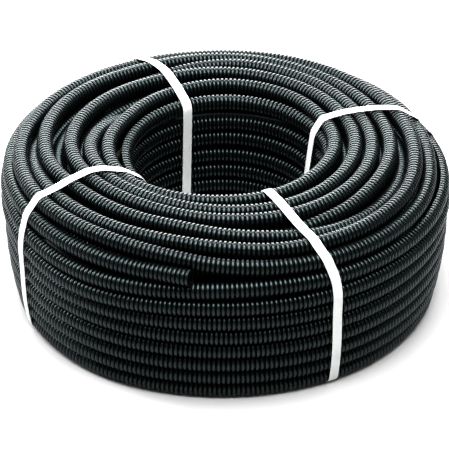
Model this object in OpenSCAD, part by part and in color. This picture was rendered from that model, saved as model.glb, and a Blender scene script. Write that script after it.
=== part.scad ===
/* Coil of corrugated conduit, bound by four flat straps.
   The coil lies flat: +Z is its axis, and the origin is the centre of its underside.
   Angles are measured counter-clockwise from +X, seen from above; the front is -Y. */

/* [Conduit] */
// Outside diameter of the conduit over its ribs
conduit_od = 20; // [16:1:25]
// Depth of the corrugation, from a rib's crest to the valley beside it
rib_depth = 2; // [1:0.1:2.4]
// Wall left under the valleys, down to the conduit's bore
wall_t = 1; // [0.8:0.1:1.5]
// Distance from one rib to the next
rib_pitch = 5.4; // [4.5:0.1:7]
// Width of a rib's crest
rib_crest = 3; // [2:0.1:4]

/* [Coil] */
// Outside diameter of the coil
coil_d = 560; // [520:5:640]
// Diameter of the coil's central hole
eye_d = 220; // [180:5:260]
// Rows of turns on the outer wall, below the shoulder
wall_rows = 7; // [6:1:9]
// How far the lowest row lies in from the widest part of the wall
foot_tuck = 10; // [4:1:16]
// Height over which the wall draws in towards the lowest row
tuck_h = 90; // [60:5:95]
// Radius of the rounded outer shoulder, through the turns' centres
shoulder_r = 56; // [50:1:64]
// Space between neighbouring turns on the top
top_slack = 3; // [0:0.5:5]
// How far the turn in the top's loose gap lies below the top turns
gap_drop = 16; // [12:1:18]
// How deep the bed under the free turn is, below its centre
bed_depth = 9; // [6:1:11]
// Radius of the rounded inner edge, through the turns' centres
lip_r = 24; // [22:1:30]
// How far the ribs of touching turns sink into each other
nest = 0.2; // [0.1:0.05:0.5]
// How far the packed turns fill the grooves, out from the turns' centres
groove_fill = 3; // [2:0.5:4]

/* [Free turn] */
// Direction in which the free end's mouth lies
end_az = -99; // [-110:1:-90]
// Length of the straight ribbed tail at the free end
tail_l = 60; // [40:5:80]
// How far the tail rises along its length
tail_rise = 3; // [2:0.5:6]
// Direction in which the free turn comes out of the coil
emerge_az = 95; // [80:1:100]

/* [Straps] */
// Width of the strap
strap_w = 12; // [9:1:19]
// Thickness of the strap
strap_t = 0.8; // [0.5:0.1:1.2]
// Gap between the strap and the crests that it passes over
strap_gap = 0.15; // [0.1:0.05:0.3]
// Direction of the strap at the front left
front_left_az = -151; // [-158:1:-140]
// Direction of the strap at the back left
back_left_az = 114; // [108:1:125]
// Direction of the strap at the back right
back_right_az = 21; // [14:1:35]
// Direction of the strap at the front right
front_right_az = -64; // [-72:1:-55]

/* [Hidden] */

$fn = 96;
tube_r = conduit_od / 2;
valley_r = tube_r - rib_depth;
bore_r = valley_r - wall_t;
pitch = conduit_od - nest;              // centre to centre of two turns that touch
lift = strap_t + strap_gap;             // the coil stands on the straps that pass under it

// Turn centres in the coil's section, as [radius, height]
wall_x = coil_d / 2 - tube_r;
eye_x = eye_d / 2 + tube_r;
floor_z = lift + tube_r;
wall_z = floor_z + (wall_rows - 1) * pitch;
crown_z = wall_z + shoulder_r;
lip_z = crown_z - lip_r;
shoulder_step = 2 * asin(pitch / 2 / shoulder_r);
lip_step = 2 * asin(pitch / 2 / lip_r);
free_index = 2;                         // the shoulder's place that the free turn takes

function on_shoulder(k) = [wall_x - shoulder_r + shoulder_r * cos(k * shoulder_step),
                           wall_z + shoulder_r * sin(k * shoulder_step)];
function on_lip(k) = [eye_x + lip_r - lip_r * cos(k * lip_step), lip_z + lip_r * sin(k * lip_step)];
// Number of pitches that fit between a and b
function steps(a, b) = max(1, floor(norm(b - a) / pitch + 0.01));
// Evenly spaced turn centres after a, up to and with b
function row(a, b) = [for (k = [1 : steps(a, b)]) a + (b - a) * k / steps(a, b)];

shoulder_n = floor(88 / shoulder_step);
lip_n = floor(95 / lip_step);
wall = [for (k = [0 : wall_rows - 1])
    [wall_x - foot_tuck * pow(max(0, 1 - k * pitch / tuck_h), 2), floor_z + k * pitch]];
shoulder = [for (k = [1 : shoulder_n]) on_shoulder(k)];
// The top layer comes in from the shoulder and out from the lip, and keeps a loose gap between
top_step = pitch + top_slack;
lip_top = on_lip(lip_n);
inner_x = lip_top[0] + sqrt(pitch * pitch - pow(crown_z - lip_top[1], 2));
top_n = max(2, floor((on_shoulder(shoulder_n)[0] - inner_x) / top_step));
outer_n = ceil((top_n - 1) / 2);
top_outer = [for (k = [1 : outer_n]) [on_shoulder(shoulder_n)[0] - k * top_step, crown_z]];
top_inner = [for (k = [top_n - 1 - outer_n : -1 : 0]) [inner_x + k * top_step, crown_z]];
gap_turn = [(top_outer[outer_n - 1][0] + top_inner[0][0]) / 2, crown_z - gap_drop];
top_crests = concat(top_outer, top_inner, [lip_top]);
top = concat(top_outer, [gap_turn], top_inner, [lip_top]);
lip = [for (k = [lip_n - 1 : -1 : 1]) on_lip(k)];
eye = concat([[eye_x, lip_z]], row([eye_x, lip_z], [eye_x, floor_z]));
underside = row([eye_x, floor_z], wall[0]);
free_turn = shoulder[free_index - 1];

function without(list, i) = [for (k = [0 : len(list) - 1]) if (k != i) list[k]];
function unit(v) = v / norm(v);
function outward(v) = unit([v[1], -v[0]]);
// Moves each point of a closed outline out by d, along the mean of its two edges' normals
function pushed(pts, d) = let (n = len(pts))
    [for (i = [0 : n - 1])
        let (before = outward(pts[i] - pts[(i + n - 1) % n]), after = outward(pts[(i + 1) % n] - pts[i]))
        pts[i] + d * unit(before + after)];

// A closed outline that runs round circles of radius r on a convex ring of centres,
// and straight past a centre at which the ring hardly bends
function heading(v) = atan2(v[1], v[0]);
function wrapped(centres, r, arc_step = 8, least_bend = 0.5) = let (n = len(centres))
    [for (i = [0 : n - 1])
        let (a = heading(outward(centres[i] - centres[(i + n - 1) % n])),
             b = heading(outward(centres[(i + 1) % n] - centres[i])),
             bend = (b - a + 540) % 360 - 180,
             parts = max(1, ceil(bend / arc_step)))
        if (bend > least_bend)
            for (k = [0 : parts]) centres[i] + r * [cos(a + bend * k / parts), sin(a + bend * k / parts)]];

packed_shoulder = without(shoulder, free_index - 1);
packed = concat(wall, packed_shoulder, top, lip, eye, without(underside, len(underside) - 1));
bed = free_turn - bed_depth * unit(free_turn - [wall_x - shoulder_r, wall_z]);
packed_skin = pushed(packed, groove_fill);
// The packed turns' filled outline, with a bed in which the free turn lies
core = [for (i = [0 : len(packed) - 1]) each i == wall_rows ? [packed_skin[i], bed] : [packed_skin[i]]];

tail_sweep = atan(tail_l / free_turn[0]);
free_stop_az = end_az + 360 - tail_sweep;

// Where the free turn's tail starts, and how steeply it rises
module at_tail() {
    rotate([0, 0, free_stop_az]) translate([free_turn[0], 0, free_turn[1]])
        rotate([-90 + atan(tail_rise / tail_l), 0, 0]) children();
}

// The packed turns: one turned solid whose walls and ends carry the turns
module packed_coil() {
    rotate_extrude() {
        polygon(core);
        for (c = packed) translate(c) circle(r = tube_r);
    }
}

// The last turn, which lies in the coil's shoulder
module free_turn_arc() {
    rotate([0, 0, emerge_az])
        rotate_extrude(angle = free_stop_az - emerge_az) translate(free_turn) circle(r = tube_r);
}

// The straight end of the last turn, with its ribs
module tail() {
    root = 4;
    ribs = floor((tail_l - rib_crest) / rib_pitch);
    at_tail() {
        translate([0, 0, -root]) cylinder(r = valley_r, h = root + tail_l);
        for (k = [0 : ribs])
            translate([0, 0, tail_l - rib_crest - k * rib_pitch]) cylinder(r = tube_r, h = rib_crest);
    }
}

module conduit() {
    color([0.10, 0.11, 0.11])
    difference() {
        union() {
            packed_coil();
            free_turn_arc();
            tail();
        }
        at_tail() cylinder(r = bore_r, h = tail_l + 1);
    }
}

// A flat band round the coil's section in one direction, over the free turn or beside it
module strap(az, over_free_turn) {
    turns = concat(wall,
                   over_free_turn ? shoulder : packed_shoulder, top_crests, lip,
                   [eye[0], eye[len(eye) - 1]]);
    color([0.93, 0.94, 0.93])
    rotate([90, 0, az]) linear_extrude(strap_w, center = true) difference() {
        polygon(wrapped(turns, tube_r + lift));
        polygon(wrapped(turns, tube_r + strap_gap));
    }
}

module strap_front_left() { strap(front_left_az, true); }
module strap_back_left() { strap(back_left_az, true); }
module strap_back_right() { strap(back_right_az, false); }
module strap_front_right() { strap(front_right_az, false); }

conduit();
strap_front_left();
strap_back_left();
strap_back_right();
strap_front_right();
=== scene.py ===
"""Looks of a strapped coil of corrugated conduit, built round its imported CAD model.

Shapes are worked out in millimetres and degrees, and Shell.build makes metres of them. Azimuths are
counted round the coil's axis from +x. The photo looks from azimuth -90."""
import math

import bpy
import numpy as np
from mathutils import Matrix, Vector


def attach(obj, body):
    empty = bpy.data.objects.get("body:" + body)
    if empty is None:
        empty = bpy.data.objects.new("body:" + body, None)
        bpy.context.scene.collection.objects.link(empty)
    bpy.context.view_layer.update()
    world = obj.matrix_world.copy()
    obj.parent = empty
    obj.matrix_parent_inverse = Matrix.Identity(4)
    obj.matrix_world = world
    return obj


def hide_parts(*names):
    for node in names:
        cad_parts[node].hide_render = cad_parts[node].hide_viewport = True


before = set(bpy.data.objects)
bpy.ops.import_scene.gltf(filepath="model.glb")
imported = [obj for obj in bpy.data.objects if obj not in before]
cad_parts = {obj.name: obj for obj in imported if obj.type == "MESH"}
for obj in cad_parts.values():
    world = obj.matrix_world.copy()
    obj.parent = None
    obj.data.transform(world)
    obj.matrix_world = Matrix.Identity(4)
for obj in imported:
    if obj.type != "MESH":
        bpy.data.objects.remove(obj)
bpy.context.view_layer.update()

MM = 0.001

# The conduit
TUBE_R = 10.0
WALL_T = 1.0
RIB_DEPTH = 2.0
RIB_PITCH = 5.4
RIB_CREST = 3.0
VALLEY_R = TUBE_R - RIB_DEPTH

# A rib's outline, from its crest's middle: half its flat top, its rounded edge and its foot
RIB_TOP = 1.15
RIB_SIDE = 1.6
RIB_FOOT = 1.9
RIB_ROUND = 0.4

# The coil's section, through the turns' centres
PITCH = 19.5
FLOOR_Z = 10.95
WALL_R = 270.0
WALL_ROWS = 7
FOOT_TUCK = 10.0
TUCK_H = 90.0
SHOULDER_R = 56.0
EYE_R = 120.0
UNDERSIDE_ROWS = 7
TOP_WALL_ROW = WALL_ROWS - 1
WALL_Z = FLOOR_Z + TOP_WALL_ROW * PITCH
FOOT_R = WALL_R - FOOT_TUCK
SHOULDER_STEP = 2 * math.degrees(math.asin(PITCH / 2 / SHOULDER_R))
SECTION_MIDDLE = (195, 98)

# Where and over what arc each row steps up to the next one, and where the underside's winding starts
STEP_AZ = 80.0
STEP_ARC = 50.0
UNDERSIDE_AZ = STEP_AZ - 360 * (UNDERSIDE_ROWS - 1) - 12

# From where and over what arc the wall's winding dives under the turns on the shoulder, and where to
DIVE_AZ = STEP_AZ + 360 * (WALL_ROWS + 1) - 30
DIVE_ARC = 55
DIVE_END = (242, 152)

# How far the wall's rows lie further in at the coil's left and right
LEFT_AZ = 185
LEFT_INSET = 12
LEFT_TOP_INSET = 6
RIGHT_AZ = 0
RIGHT_INSET = 4
INSET_ARC = 60

# The highest rows sag outward and down at the front left, and the last one lifts at the front
SAG_AZ = -128
SAG_ARC = 38
SAG_LEVEL = 4.5
SAG_OUT = 2.0
SAG_DOWN = 6.0
LIFT_AZ = -80
LIFT_ARC = 27
LIFT = 3.0

# The straight free end, how far its cut face is rounded, and the rib heights that give the face its
# painted shade
TAIL_L = 60.0
TAIL_RISE = 3.0
TAIL_STEPS = 20
FACE_ROUND = 0.8
FACE_SHADE = (0.8, 0.5)

# How closely the tubes' paths are stepped, in degrees
OPEN_STEP = 1.2
RING_STEP = 1.5
UNDERSIDE_STEP = 2.0
CORE_STEP = 3.0

# The parts of a tube's section that are made: from, to, and segments. 0 is outward and 90 is up
WHOLE_FINE = (0, 360, 16)
WHOLE = (0, 360, 14)
OUTER_SIDE = (-97, 97, 10)
INNER_SIDE = (75, 285, 9)
UPPER_SIDE = (-20, 200, 7)
LOWER_SIDE = (-187, 7, 7)
EYE_FOOT_SIDE = (60, 375, 12)

# The straps, and how far their line lies off the crests
STRAP_W = 12.0
STRAP_T = 0.8
STRAP_ROUND = 0.4
STRAP_EDGE_T = 0.55
STRAP_CLEAR = 0.4
STRAP_STEP = 2.5
# The ways that a strap's line is drawn from, and which turns count for one: those near it, and for
# the wall and the eye also those of the foot, below FOOT_H
STRAP_WAYS = (0, 60, 90, 120, 180)
NEAR_ARC = 40
FOOT_H = 60
# {way round the coil's section: azimuth}. The way is 0 at the wall, 90 at the top and 180 at the eye
STRAPS = {
    "front_left": {-90: -153.5, 0: -150, 45: -149.2, 70: -150, 90: -152.5, 107: -154, 125: -150.5,
                   145: -150, 180: -150},
    "back_left": {-90: 116, 0: 116.5, 60: 116, 90: 113, 120: 113, 180: 114.5},
    "back_right": {-90: 22, 0: 18.5, 60: 18.5, 90: 22, 120: 23.5, 180: 22},
    "front_right": {-90: -61.3, 0: -62.2, 30: -62.4, 60: -65, 90: -65.8, 120: -65.5, 180: -64},
}

# Turns on the top that run on for more than a lap, {azimuth: (radius, height)}
OUTER_TURNS = {
    163: (230, 162), 172: (229.5, 166.5), 180: (229, 171), 195: (227.5, 177), 210: (226, 180),
    240: (225, 182), 255: (225, 182), 270: (231, 181.5), 285: (239, 179.5), 300: (242, 179),
    330: (240, 179.5), 360: (231, 183), 390: (228, 184), 420: (233, 183), 450: (240, 180.5),
    480: (242, 179.5), 510: (244, 179.3), 540: (245, 179.3), 570: (245, 179.5), 600: (244.5, 179.5),
    615: (247, 177), 630: (254, 173), 645: (258, 169.5), 660: (258.5, 167), 690: (257, 167),
    720: (249, 169), 750: (249, 171), 780: (251, 169.5), 810: (255, 167), 840: (256.5, 166.3),
    870: (257, 166), 900: (257, 165.5), 930: (258, 165), 950: (260, 164), 969.5: (261.5, 163.5),
}
GAP_TURN = {
    262: (194, 156), 280: (196, 162), 290: (198, 168), 300: (200, 175), 315: (203, 180),
    330: (203, 184), 360: (203, 184.5), 390: (205, 185), 420: (212.5, 185), 450: (223, 184.5),
    480: (219.5, 184.5), 510: (222, 184.5), 540: (216, 184.5), 555: (210, 184), 570: (200, 183),
    600: (193.5, 182), 615: (194, 182), 630: (204, 182), 645: (214, 180.5), 660: (221.5, 175.5),
    675: (223.5, 173), 690: (222, 172.5), 720: (215.5, 169.5), 735: (213, 167), 750: (213, 162),
}
INNER_TURNS = {
    133: (152, 162), 146: (151, 171), 160: (154, 179), 180: (160, 183), 210: (156, 183),
    240: (150, 182), 270: (153, 182), 300: (158.5, 182.5), 330: (159, 183.5), 360: (161, 184.5),
    390: (165, 185), 420: (174.5, 185), 450: (184, 184.5), 480: (183, 184.5), 510: (185, 184.5),
    540: (184, 184.5), 570: (175, 184), 600: (168, 182.5), 630: (172, 182), 660: (179.5, 182.5),
    690: (181, 184), 720: (181, 184.5), 750: (184, 184.5), 780: (196, 184.5), 810: (206.5, 184),
    825: (202, 181.5), 840: (195.5, 176), 855: (190, 168), 865: (188, 164),
}
# Closed turns: the one on the eye's rim, and those that show deep between the top turns
RIM_TURN = {-120: (132, 179.5), -90: (126.5, 179.5), -60: (128.5, 180), -30: (130, 181),
            0: (136, 182), 30: (141, 182.5), 60: (152, 182), 90: (157, 182), 120: (147, 182),
            150: (137, 182), 180: (139, 182), 210: (138, 179)}
DEEP_TURNS = [
    {-90: (139, 164), 0: (149, 165), 90: (141, 165), 180: (150, 165)},
    {-90: (162, 164), 0: (171, 166), 90: (171, 166), 180: (172, 165)},
    {-90: (187, 165), 0: (192, 166), 90: (195, 166), 180: (200, 166)},
    {-90: (217, 163), 0: (229, 162), 90: (213, 166), 180: (216, 160)},
    {-90: (241, 160), 0: (240, 160), 90: (231, 164), 180: (240, 160)},
    {-90: (248, 141), 0: (247, 141), 90: (246, 141), 180: (247, 141)},
]
# The eye's rows: heights at the front and at the back. At the right, the eye widens towards the top
EYE_ROWS = [(32, 35.5), (53.5, 60), (75, 81.5), (96, 104), (117.5, 128), (139, 149), (160, 177)]
EYE_WIDENING = 12
WIDENING_AZ = 10
WIDENING_Z = 90
WIDENING_H = 80
# The plain core's outline over the top and down the eye, and how far it lies inside the wall's turns
CORE_INSET = 1.5
CORE_TOP = [(238, 146), (236, 156), (225, 158), (140, 160), (EYE_R + CORE_INSET, 150),
            (EYE_R + CORE_INSET, FLOOR_Z)]

# Colours and roughness, between two values. RIB_ pairs run from a rib's valley to its crest, and
# paint shade into the valleys
BLACK_BODY = (0.004, 0.005, 0.005), (0.007, 0.009, 0.009)
# Painted shade: the base colour is darker and the reflections are weaker towards a rib's valley
RIB_PAINTED_SHADE = (0.25, 0.25, 0.25), (1.0, 1.0, 1.0)
RIB_PAINTED_GLOSS_SHADE = (0.08, 0.1, 0.1), (0.8, 1.0, 1.03)
BLACK_ROUGHNESS = (0.24, 0.36)
WHITE_BODY = (0.67, 0.69, 0.68), (0.75, 0.76, 0.75)
WHITE_ROUGHNESS = (0.35, 0.5)
# The middle of a noise's range, over which the colours and the roughness change
NOISE_MIDDLE = (0.3, 0.7)
GRAIN_DETAIL = 2.0
FLOOR_GREY = (0.52, 0.52, 0.52, 1)
FLOOR_ROUGHNESS = 0.9
FLOOR_HALF = 6.0

# The world: {place on its way up: brightness}
WORLD_SHADES = {0.55: 0.03, 0.95: 1}
WORLD_STRENGTH = 0.75

# Area lights, in metres and watts: place, aim, size and power
LIGHTS = {
    "back_wall": ((-0.2, 2.3, 0.95), (0, 0, 0.15), (3.2, 1.4), 120),
    "top_light": ((0, 0, 2.2), (0, 0, 0.1), (2.2, 1.0), 58),
    "front_strip": ((0, -0.9, 2.15), (0, 0, 0.1), (2.2, 0.4), 38),
    "low_front": ((0, -3.0, 0.7), (0, 0, 0.1), (3.0, 0.8), 10),
    "left_light": ((-2.0, 0.8, 1.1), (0, 0, 0.1), (0.5, 1.2), 36),
    "right_light": ((2.0, 0.8, 1.1), (0, 0, 0.1), (0.5, 1.2), 3),
}

# The camera, in metres: what it turns round, its elevation and distance, and how its aim is shifted
CAMERA_MIDDLE = (0, 0, 0.0994)
CAMERA_ELEVATION = 31.28
CAMERA_DISTANCE = 2.8
CAMERA_LENS = 181.9
CAMERA_SENSOR = 36
AIM_RIGHT = 0.0022
AIM_DOWN = 0.0236


# ---------------------------------------------------------------- paths
def smoothed(x):
    """0 up to 0, 1 from 1 on, and a soft step between."""
    x = np.clip(x, 0, 1)
    return x * x * (3 - 2 * x)


def turned(az, middle):
    """The angle from middle to az, between -180 and 180."""
    return (az - middle + 180) % 360 - 180


def swell(az, middle, arc):
    """1 at middle, and softly down to 0 at arc degrees on both sides."""
    return smoothed(1 - np.abs(turned(az, middle)) / arc)


def row_place(level):
    """Turn centre (radius, height) of a row: 0 is the wall's foot, below 0 is the underside."""
    up = np.clip(level, 0, None) * PITCH
    wall_r = WALL_R - FOOT_TUCK * np.clip(1 - up / TUCK_H, 0, None) ** 2
    bend = np.radians(np.clip(level - TOP_WALL_ROW, 0, None) * SHOULDER_STEP)
    on_shoulder = level > TOP_WALL_ROW
    r = np.where(on_shoulder, WALL_R - SHOULDER_R + SHOULDER_R * np.cos(bend), wall_r)
    z = np.where(on_shoulder, WALL_Z + SHOULDER_R * np.sin(bend), FLOOR_Z + up)
    under_r = FOOT_R + (FOOT_R - EYE_R) * level / UNDERSIDE_ROWS
    return np.where(level < 0, under_r, r), z


def side_inset(az, level):
    """How far a row lies further in at the coil's sides. The underside's rows don't."""
    lower = smoothed((WALL_ROWS - level) / 2)
    left = LEFT_TOP_INSET + (LEFT_INSET - LEFT_TOP_INSET) * lower
    right = RIGHT_INSET * lower
    inset = swell(az, LEFT_AZ, INSET_ARC) * left + swell(az, RIGHT_AZ, INSET_ARC) * right
    return inset * smoothed(level + 1)


def outer_winding(az):
    """Centre (radius, height) of the winding at az, counted on from lap to lap.

    The wall's foot starts at STEP_AZ, and the underside lies before it. Each turn is a level row
    that steps up to the next one at the back."""
    laps = (az - STEP_AZ) / 360
    whole = np.round(laps)
    level = whole + smoothed((laps - whole) * 360 / STEP_ARC + 0.5) - 1
    r, z = row_place(level)
    sag = swell(az, SAG_AZ, SAG_ARC) * smoothed(level - SAG_LEVEL)
    lift = swell(az, LIFT_AZ, LIFT_ARC) * smoothed(level - TOP_WALL_ROW)
    return r + SAG_OUT * sag - side_inset(az, level), z - SAG_DOWN * sag + LIFT * lift


def smooth_path(stops):
    """Smooth curve of value pairs through stops {azimuth: (a, b)}."""
    az = np.array(sorted(stops), float)
    val = np.array([stops[a] for a in sorted(stops)], float)
    slope = np.gradient(val, az, axis=0)

    def at(theta):
        theta = np.clip(np.asarray(theta, float), az[0], az[-1])
        i = np.clip(np.searchsorted(az, theta, side="right") - 1, 0, len(az) - 2)
        span = (az[i + 1] - az[i])
        t = ((theta - az[i]) / span)[..., None]
        span = span[..., None]
        start = (1 + 2 * t) * (1 - t) ** 2
        leave = t * (1 - t) ** 2 * span
        end = t * t * (3 - 2 * t)
        arrive = t * t * (t - 1) * span
        return start * val[i] + leave * slope[i] + end * val[i + 1] + arrive * slope[i + 1]
    return at


def closed_stops(stops):
    """The stops of a closed turn, run on past both ends."""
    return {a + 360 * k: v for a, v in stops.items() for k in (-1, 0, 1)}


def to_points(az, rz):
    """Points at azimuths az, with rz their radii and heights."""
    a = np.radians(az)
    return np.stack([rz[:, 0] * np.cos(a), rz[:, 0] * np.sin(a), rz[:, 1]], 1)


def open_path(stops):
    first, last = min(stops), max(stops)
    az = np.linspace(first, last, int((last - first) / OPEN_STEP) + 1)
    return to_points(az, smooth_path(stops)(az))


def ring_path(stops):
    az = np.linspace(-180, 180, int(360 / RING_STEP) + 1)
    return to_points(az, smooth_path(closed_stops(stops))(az))


def path_length(points):
    return float(np.linalg.norm(np.diff(points, axis=0), axis=1).sum())


# ---------------------------------------------------------------- ribbed tube
# One rib: distance from its crest's middle, and tube radius
RIB = [(-RIB_SIDE, TUBE_R - RIB_ROUND), (-RIB_TOP, TUBE_R), (RIB_TOP, TUBE_R),
       (RIB_SIDE, TUBE_R - RIB_ROUND), (RIB_FOOT, VALLEY_R), (RIB_PITCH - RIB_FOOT, VALLEY_R)]
# A rib with fewer points, for turns that hardly show
COARSE_RIB = [(-1.2, TUBE_R - 0.1), (1.2, TUBE_R - 0.1), (RIB_FOOT, VALLEY_R),
              (RIB_PITCH - RIB_FOOT, VALLEY_R)]


def stations(length, rib, closed):
    """Distances along the tube and radii of its rings. An open tube ends on a rib's crest."""
    if closed:
        count = round(length / RIB_PITCH)
        stretch = length / count / RIB_PITCH
        first = 0.0
    else:
        whole = int((length - RIB_CREST / 2) / RIB_PITCH)
        count = whole + 1
        stretch = 1.0
        first = length - RIB_CREST / 2 - whole * RIB_PITCH
    offset, rad = np.array(rib).T
    crest = np.arange(count)[:, None] * RIB_PITCH
    dist = (first + (crest + offset) * stretch).ravel()
    keep = closed | ((dist > 0) & (dist < length))
    return dist[keep], np.tile(rad, count)[keep]


def frames(points, dist, closed):
    """Centres and section axes (away from the coil's axis, and up) at distances along points."""
    step = np.linalg.norm(np.diff(points, axis=0), axis=1)
    run = np.concatenate([[0], np.cumsum(step)])
    d = dist % run[-1] if closed else dist
    centre = np.stack([np.interp(d, run, points[:, i]) for i in range(3)], 1)
    tangents = np.gradient(points, run, axis=0)
    if closed:
        tangents[0] = tangents[-1] = points[1] - points[-2]
    along = np.stack([np.interp(d, run, tangents[:, i]) for i in range(3)], 1)
    along /= np.linalg.norm(along, axis=1)[:, None]
    out = centre * [1, 1, 0]
    out /= np.linalg.norm(out, axis=1)[:, None]
    out -= along * np.sum(out * along, 1)[:, None]
    out /= np.linalg.norm(out, axis=1)[:, None]
    up = np.cross(out, along)
    up *= np.sign(up[:, 2])[:, None]
    return centre, out, up


class Shell:
    """Vertices and quads gathered for one piece."""

    def __init__(self):
        self.verts, self.quads, self.ribs = [], [], []
        self.count = 0

    def add(self, grid, rib, closed_along, closed_round):
        """Adds rings of points. rib is how high each ring lies on a rib, from 0 to 1."""
        rows, cols = grid.shape[:2]
        index = self.count + np.arange(rows * cols).reshape(rows, cols)
        a = index if closed_along else index[:-1]
        b = np.roll(index, -1, 0) if closed_along else index[1:]
        if closed_round:
            a2, b2 = np.roll(a, -1, 1), np.roll(b, -1, 1)
        else:
            a2, b2 = a[:, 1:], b[:, 1:]
            a, b = a[:, :-1], b[:, :-1]
        self.quads.append(np.stack([a, a2, b2, b], -1).reshape(-1, 4))
        self.verts.append(grid.reshape(-1, 3))
        self.ribs.append(np.repeat(rib, cols))
        self.count += rows * cols

    def build(self, name, material, slot="conduit", node="conduit"):
        verts = np.concatenate(self.verts) * MM
        quads = np.concatenate(self.quads)
        mesh = bpy.data.meshes.new(name)
        mesh.vertices.add(len(verts))
        mesh.vertices.foreach_set("co", verts.astype(np.float32).ravel())
        mesh.loops.add(quads.size)
        mesh.loops.foreach_set("vertex_index", quads.astype(np.int32).ravel())
        mesh.polygons.add(len(quads))
        mesh.polygons.foreach_set("loop_start", np.arange(0, quads.size, 4, dtype=np.int32))
        mesh.update(calc_edges=True)
        mesh.validate()
        mesh.shade_smooth()
        # The conduit's material paints shade into the valleys by this height on a rib
        rib = mesh.attributes.new("rib", "FLOAT", "POINT")
        rib.data.foreach_set("value", np.concatenate(self.ribs).astype(np.float32))
        mesh.materials.append(material)
        obj = bpy.data.objects.new(name, mesh)
        bpy.context.scene.collection.objects.link(obj)
        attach(obj, "root")
        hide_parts(node)


def goes_round(section):
    """Whether a section's angles go all the way round the tube."""
    return section[1] - section[0] == 360


def section_angles(section):
    first, last, segments = section
    if goes_round(section):
        return np.radians(np.linspace(first, last, segments, endpoint=False))
    return np.radians(np.linspace(first, last, segments + 1))


def ribbed_grid(points, section, rib=RIB, closed=False):
    """Rings of a corrugated tube along points, and how high each ring lies on a rib."""
    dist, rad = stations(path_length(points), rib, closed)
    centre, out, up = frames(points, dist, closed)
    phi = section_angles(section)
    spokes = np.cos(phi)[None, :, None] * out[:, None] + np.sin(phi)[None, :, None] * up[:, None]
    return centre[:, None] + rad[:, None, None] * spokes, (rad - VALLEY_R) / RIB_DEPTH


def ribbed(shell, points, section, rib=RIB, closed=False):
    """Adds a corrugated tube along points."""
    grid, height = ribbed_grid(points, section, rib, closed)
    shell.add(grid, height, closed, goes_round(section))
    return shell


def part_of(grid, height, first, last, whole):
    """A shell of the rings from first to last. Two pieces of a tube share the ring between them."""
    shell = Shell()
    shell.add(grid[first:last + 1], height[first:last + 1], False, whole)
    return shell


# ---------------------------------------------------------------- materials
class Nodes:
    """Short calls for making a node material."""

    def __init__(self, name):
        self.mat = bpy.data.materials.new(name)
        self.mat.use_nodes = True
        self.tree = self.mat.node_tree
        self.shader = self.tree.nodes["Principled BSDF"]

    def node(self, kind, **values):
        made = self.tree.nodes.new("ShaderNode" + kind)
        for key, value in values.items():
            if key in made.inputs:
                made.inputs[key].default_value = value
            else:
                setattr(made, key, value)
        return made

    def link(self, a, b):
        self.tree.links.new(a, b)

    def feed(self, output, name):
        """Links an output to the shader's socket of that name."""
        self.link(output, self.shader.inputs[name])

    def ramp(self, fac, places, colours):
        """A ramp between two colours at two places of fac."""
        made = self.node("ValToRGB")
        for element, place, colour in zip(made.color_ramp.elements, places, colours):
            element.position = place
            element.color = (*colour, 1)
        self.link(fac, made.inputs["Fac"])
        return made.outputs["Color"]

    def noise(self, where, scale, detail):
        made = self.node("TexNoise", Scale=scale, Detail=detail, Roughness=0.5)
        self.link(where, made.inputs["Vector"])
        return made.outputs["Fac"]

    def grain(self, where, scale, roughness, strength, depth):
        """A fine grain, which varies the roughness between two values and dents the surface."""
        grain = self.noise(where, scale, GRAIN_DETAIL)
        limits = dict(zip(("From Min", "From Max", "To Min", "To Max"), NOISE_MIDDLE + roughness))
        ranged = self.node("MapRange", **limits)
        self.link(grain, ranged.inputs["Value"])
        self.feed(ranged.outputs["Result"], "Roughness")
        bump = self.node("Bump", Strength=strength, Distance=depth)
        self.link(grain, bump.inputs["Height"])
        self.feed(bump.outputs["Normal"], "Normal")


def conduit_material():
    """Black plastic, with painted shade in the valleys between the ribs: a darker colour and weaker
    reflections there.
    """
    n = Nodes("conduit_black")
    where = n.node("TexCoord").outputs["Object"]
    rib = n.node("Attribute", attribute_name="rib").outputs["Fac"]
    body = n.ramp(n.noise(where, 14.0, 4.0), NOISE_MIDDLE, BLACK_BODY)
    # Painted shade: the base colour darkens towards the rib valleys
    shade = n.ramp(rib, (0.0, 0.75), RIB_PAINTED_SHADE)
    mix = n.node("Mix", data_type="RGBA", blend_type="MULTIPLY")
    mix.inputs["Factor"].default_value = 1.0
    n.link(body, mix.inputs["A"])
    n.link(shade, mix.inputs["B"])
    n.feed(mix.outputs["Result"], "Base Color")
    # Painted shade: the reflections weaken towards the rib valleys, through the specular tint
    n.feed(n.ramp(rib, (0.1, 0.8), RIB_PAINTED_GLOSS_SHADE), "Specular Tint")
    n.grain(where, 900.0, BLACK_ROUGHNESS, 0.15, 0.0002)
    return n.mat


def strap_material():
    """White plastic with faint clouds and a fine grain."""
    n = Nodes("strap_white")
    where = n.node("TexCoord").outputs["Object"]
    n.feed(n.ramp(n.noise(where, 30.0, 3.0), NOISE_MIDDLE, WHITE_BODY), "Base Color")
    n.grain(where, 1500.0, WHITE_ROUGHNESS, 0.2, 0.0001)
    return n.mat


BLACK = conduit_material()
WHITE = strap_material()


# ---------------------------------------------------------------- turns
def make_wall():
    """The outer wall's winding, in two pieces. It ends under the turns on the shoulder."""
    az = np.arange(STEP_AZ, DIVE_AZ + DIVE_ARC, OPEN_STEP)
    r, z = outer_winding(az)
    dive = smoothed((az - DIVE_AZ) / DIVE_ARC)
    end_r, end_z = DIVE_END
    path = to_points(az, np.stack([r + (end_r - r) * dive, z + (end_z - z) * dive], 1))
    grid, height = ribbed_grid(path, OUTER_SIDE)
    middle = len(grid) // 2
    part_of(grid, height, 0, middle, False).build("conduit_wall_lower", BLACK)
    part_of(grid, height, middle, len(grid) - 1, False).build("conduit_wall_upper", BLACK)


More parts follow.
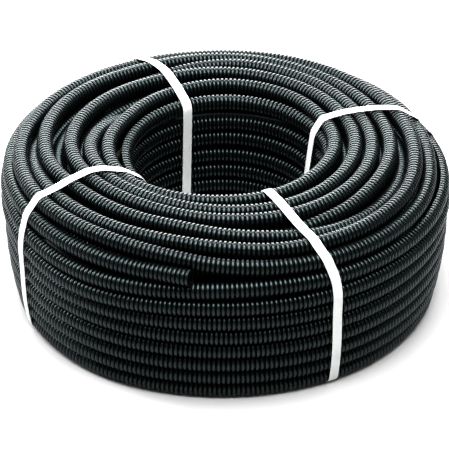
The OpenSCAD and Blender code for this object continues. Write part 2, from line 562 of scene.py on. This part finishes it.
def tail_points(points):
    """The straight free end, which goes on from the last of points and rises a little."""
    heading = points[-1] - points[-2]
    heading[2] = 0
    heading = heading / np.linalg.norm(heading) + np.array([0, 0, TAIL_RISE / TAIL_L])
    heading /= np.linalg.norm(heading)
    return points[-1] + np.outer(np.linspace(0, TAIL_L, TAIL_STEPS + 1)[1:], heading)


def mouth(tail, end):
    """Rings from the tail's last one over the cut face at end, then back along its inside."""
    centre = tail.mean(1)
    spoke = tail - centre[:, None]
    rad = np.linalg.norm(spoke, axis=2)[:, :, None]
    inside = (centre[:, None] + spoke * (rad - WALL_T) / rad)[::-1]
    face = end + spoke[-1] / rad[-1] * np.array([[[TUBE_R - FACE_ROUND]], [[VALLEY_R]]])
    return np.concatenate([tail[-1:], face, inside])


def make_outer_turns():
    """The last turns on the shoulder, and the free end with its mouth."""
    points = open_path(OUTER_TURNS)
    points = np.concatenate([points, tail_points(points)])
    grid, height = ribbed_grid(points, WHOLE_FINE)
    start = len(grid) - int(TAIL_L / RIB_PITCH) * len(RIB)
    part_of(grid, height, 0, start, True).build("conduit_outer_turns", BLACK)
    end = part_of(grid, height, start, len(grid) - 1, True)
    rings = mouth(grid[start:], points[-1])
    # Painted shade: the cut face gets part of the valleys' painted shade, and the bore's inside all
    # of it
    shade = np.zeros(len(rings))
    shade[:3] = height[-1], *FACE_SHADE
    end.add(rings, shade, False, True)
    end.build("conduit_free_end", BLACK)


def make_top_turns():
    ribbed(Shell(), open_path(GAP_TURN), WHOLE).build("conduit_gap_turn", BLACK)
    inner = ribbed(Shell(), open_path(INNER_TURNS), WHOLE)
    ribbed(inner, ring_path(RIM_TURN), WHOLE, closed=True)
    inner.build("conduit_inner_turns", BLACK)
    deep = Shell()
    for stops in DEEP_TURNS:
        ribbed(deep, ring_path(stops), UPPER_SIDE, COARSE_RIB, closed=True)
    deep.build("conduit_deep_turns", BLACK)


def eye_rows():
    """Stops of the eye's rows. They rise towards the back, and the highest lie further out."""
    rows = []
    for front, back in EYE_ROWS:
        wide = EYE_WIDENING * smoothed((back - WIDENING_Z) / WIDENING_H)
        side = (front + back) / 2
        rows.append({-90: (EYE_R, front), WIDENING_AZ: (EYE_R + wide, side),
                     90: (EYE_R + wide / 4, back), 180: (EYE_R, side)})
    return rows


def make_eye():
    eye = Shell()
    for stops in eye_rows():
        ribbed(eye, ring_path(stops), INNER_SIDE, closed=True)
    foot = {-90: (EYE_R, FLOOR_Z), 90: (EYE_R, FLOOR_Z)}
    ribbed(eye, ring_path(foot), EYE_FOOT_SIDE, closed=True)
    eye.build("conduit_eye_wall", BLACK)


def make_underside():
    """The underside's winding, from the turn next to the eye's foot out to the wall's foot."""
    az = np.arange(UNDERSIDE_AZ, STEP_AZ + UNDERSIDE_STEP / 2, UNDERSIDE_STEP)
    path = to_points(az, np.stack(outer_winding(az), 1))
    ribbed(Shell(), path, LOWER_SIDE, COARSE_RIB).build("conduit_underside", BLACK)


def make_core():
    """The plain core that stands for the hidden turns, in the valleys' painted shade all over."""
    levels = np.arange(0, WALL_ROWS + 0.1, 0.5)
    r, z = row_place(levels)
    loops = []
    for az in np.arange(0, 360, CORE_STEP):
        wall = np.stack([r - CORE_INSET - side_inset(az, levels), z], 1)
        outline = np.concatenate([wall, CORE_TOP])
        loops.append(to_points(np.full(len(outline), az), outline))
    core = Shell()
    # Painted shade: rib height 0 gives the core the darkest colour and weakest reflections
    core.add(np.array(loops), np.zeros(len(loops)), True, True)
    core.build("conduit_hidden_turns", BLACK)


# ---------------------------------------------------------------- straps
def turns_at(az):
    """Centres of the outside turns at an azimuth."""
    centres = []
    for lap in range(-UNDERSIDE_ROWS, WALL_ROWS + 1):
        start = STEP_AZ + 360 * lap
        r, z = outer_winding(start + (az - start) % 360)
        centres.append((float(r), float(z)))
    for stops in (OUTER_TURNS, GAP_TURN, INNER_TURNS):
        at = smooth_path(stops)
        for a in np.arange(az % 360, max(stops), 360):
            if a > min(stops):
                centres.append(tuple(at(a)))
    for stops in [RIM_TURN] + eye_rows():
        centres.append(tuple(smooth_path(closed_stops(stops))(az)))
    return centres


def hull(points):
    """Convex outline, turning left."""
    pts = sorted(set(points))

    def turns_left(a, b, c):
        return (b[0] - a[0]) * (c[1] - a[1]) > (b[1] - a[1]) * (c[0] - a[0])

    def half(seq):
        out = []
        for p in seq:
            while len(out) > 1 and not turns_left(out[-2], out[-1], p):
                out.pop()
            out.append(p)
        return out[:-1]
    return half(pts) + half(pts[::-1])


def circle_points(centre, radius, count=48):
    """Points on a circle, rounded so that hull() can sort them."""
    angles = [i * math.tau / count for i in range(count)]
    return [(round(centre[0] + radius * math.cos(a), 3), round(centre[1] + radius * math.sin(a), 3))
            for a in angles]


def even(loop, spacing):
    """A closed outline again, with even spacing."""
    pts = np.array(loop + loop[:1])
    run = np.concatenate([[0], np.cumsum(np.linalg.norm(np.diff(pts, axis=0), axis=1))])
    count = int(run[-1] / spacing)
    d = np.arange(count) * run[-1] / count
    return np.stack([np.interp(d, run, pts[:, i]) for i in range(2)], 1)


def way_round(r, z):
    """Direction from the section's middle, in degrees: 0 the wall, 90 the top, 180 the eye."""
    return np.degrees(np.arctan2(z - SECTION_MIDDLE[1], r - SECTION_MIDDLE[0]))


def strap_line(stops):
    """The strap's closed line on the coil: radius and height, and azimuth."""
    look = smooth_path(closed_stops({way: (az, 0) for way, az in stops.items()}))
    around = []
    for way in STRAP_WAYS:
        for centre in turns_at(float(look(way)[0])):
            near = abs(turned(way_round(*centre), way)) < NEAR_ARC
            foot = way in (0, 180) and centre[1] < FOOT_H
            if near or foot:
                around += circle_points(centre, TUBE_R + STRAP_CLEAR)
    line = even(hull(around), STRAP_STEP)
    for _ in range(3):
        line = (np.roll(line, 1, 0) + 2 * line + np.roll(line, -1, 0)) / 4
    return line, look(way_round(line[:, 0], line[:, 1]))[:, 0]


def strap_section():
    """The section's points (across, outward), with its two outer edges rounded."""
    half = STRAP_W / 2
    return [(-half, 0), (-half, STRAP_EDGE_T), (STRAP_ROUND - half, STRAP_T),
            (half - STRAP_ROUND, STRAP_T), (half, STRAP_EDGE_T), (half, 0)]


def make_strap(place, stops):
    line, az = strap_line(stops)
    step = np.roll(line, -1, 0) - np.roll(line, 1, 0)
    normal = np.stack([step[:, 1], -step[:, 0]], 1) / np.linalg.norm(step, axis=1)[:, None]
    centre = to_points(az, line)
    out = to_points(az, normal)
    along = np.roll(centre, -1, 0) - np.roll(centre, 1, 0)
    across = np.cross(along, out)
    across /= np.linalg.norm(across, axis=1)[:, None]
    grid = np.stack([centre + across * w + out * t for w, t in strap_section()], 1)
    grid[:, :, 2] = np.maximum(grid[:, :, 2], 0)
    shell = Shell()
    shell.add(grid, np.ones(len(line)), True, True)
    shell.build("band_" + place, WHITE, "strap", "strap_" + place)


# ---------------------------------------------------------------- stage
def link_to_scene(obj):
    bpy.context.scene.collection.objects.link(obj)


def make_floor():
    mesh = bpy.data.meshes.new("floor")
    s = FLOOR_HALF
    mesh.from_pydata([(-s, -s, 0), (s, -s, 0), (s, s, 0), (-s, s, 0)], [], [(0, 1, 2, 3)])
    floor = bpy.data.objects.new("floor", mesh)
    link_to_scene(floor)
    n = Nodes("floor_pale")
    n.shader.inputs["Base Color"].default_value = FLOOR_GREY
    n.shader.inputs["Roughness"].default_value = FLOOR_ROUGHNESS
    mesh.materials.append(n.mat)


def area_light(name, place, aim, size, power):
    light = bpy.data.lights.new(name, "AREA")
    light.shape = "RECTANGLE"
    light.size, light.size_y = size
    light.energy = power
    obj = bpy.data.objects.new(name, light)
    obj.location = place
    obj.rotation_euler = (Vector(aim) - Vector(place)).to_track_quat("-Z", "Y").to_euler()
    link_to_scene(obj)


def make_world():
    """Soft light from above that fades towards the horizon."""
    world = bpy.data.worlds.new("studio")
    world.use_nodes = True
    tree = world.node_tree
    where = tree.nodes.new("ShaderNodeTexCoord")
    split = tree.nodes.new("ShaderNodeSeparateXYZ")
    ramp = tree.nodes.new("ShaderNodeValToRGB")
    background = tree.nodes["Background"]
    tree.links.new(where.outputs["Generated"], split.inputs["Vector"])
    tree.links.new(split.outputs["Z"], ramp.inputs["Fac"])
    tree.links.new(ramp.outputs["Color"], background.inputs["Color"])
    for element, (place, shade) in zip(ramp.color_ramp.elements, WORLD_SHADES.items()):
        element.position = place
        element.color = (shade, shade, shade, 1)
    background.inputs["Strength"].default_value = WORLD_STRENGTH
    bpy.context.scene.world = world


def make_light():
    make_world()
    for name, (place, aim, size, power) in LIGHTS.items():
        area_light(name, place, aim, size, power)
    bpy.context.scene.view_settings.view_transform = "Standard"
    bpy.context.scene.view_settings.look = "High Contrast"


def make_camera():
    elevation = math.radians(CAMERA_ELEVATION)
    middle = Vector(CAMERA_MIDDLE)
    back = Vector((0, -math.cos(elevation), math.sin(elevation)))
    upward = Vector((0, math.sin(elevation), math.cos(elevation)))
    data = bpy.data.cameras.new("camera")
    data.lens = CAMERA_LENS
    data.sensor_width = CAMERA_SENSOR
    camera = bpy.data.objects.new("camera", data)
    camera.location = middle + back * CAMERA_DISTANCE
    aim = middle - upward * AIM_DOWN + Vector((AIM_RIGHT, 0, 0))
    camera.rotation_euler = (aim - camera.location).to_track_quat("-Z", "Y").to_euler()
    link_to_scene(camera)
    bpy.context.scene.camera = camera


make_camera()
make_wall()
make_outer_turns()
make_top_turns()
make_eye()
make_underside()
make_core()
for strap_place, strap_stops in STRAPS.items():
    make_strap(strap_place, strap_stops)
make_floor()
make_light()
